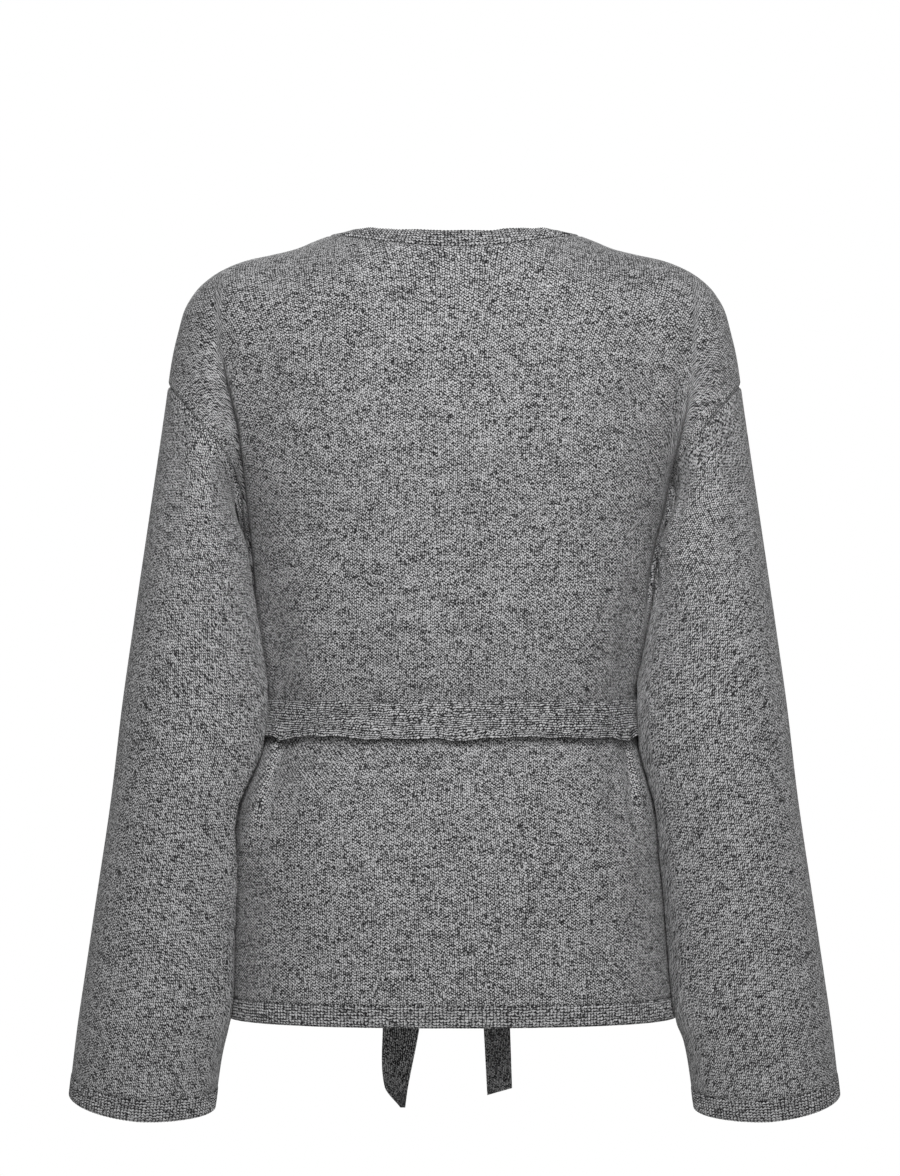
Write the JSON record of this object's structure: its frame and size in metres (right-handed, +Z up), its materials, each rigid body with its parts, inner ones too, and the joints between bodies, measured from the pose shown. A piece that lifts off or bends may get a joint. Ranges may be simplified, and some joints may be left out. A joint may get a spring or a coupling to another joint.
{
  "type": "wrap cardigan",
  "caption": "Long-sleeved knit wrap cardigan with dropped shoulders, ribbed edges and a tied knit belt, filled out as worn with an empty inside.",
  "frame": {"origin": "midway between the wearer's shoulders on the line of the shoulder seams, inside the neck opening, where a wearer's shoulders hold the garment up", "axes": "+Z up, -Y the wearer's front, +Y the back that the picture shows, +X the wearer's left"},
  "size_m": [0.5768, 0.2437, 0.6668],
  "materials": {
    "knit": "soft grey melange plain knit with a light fuzz",
    "rib": "grey melange ribbed knit",
    "belt": "grey melange plain knit with its wales along the belt"
  },
  "bodies": {
    "root": {"back": "knit", "front_left": "knit", "front_right": "knit", "sleeve_left": "knit", "sleeve_right": "knit", "neckband": "rib", "hem_rib_back": "rib", "hem_rib_left": "rib", "hem_rib_right": "rib", "cuff_left": "rib", "cuff_right": "rib", "belt": "belt", "belt_knot": "belt", "belt_tail_left": "belt", "belt_tail_right": "belt"}
  },
  "joints": []
}
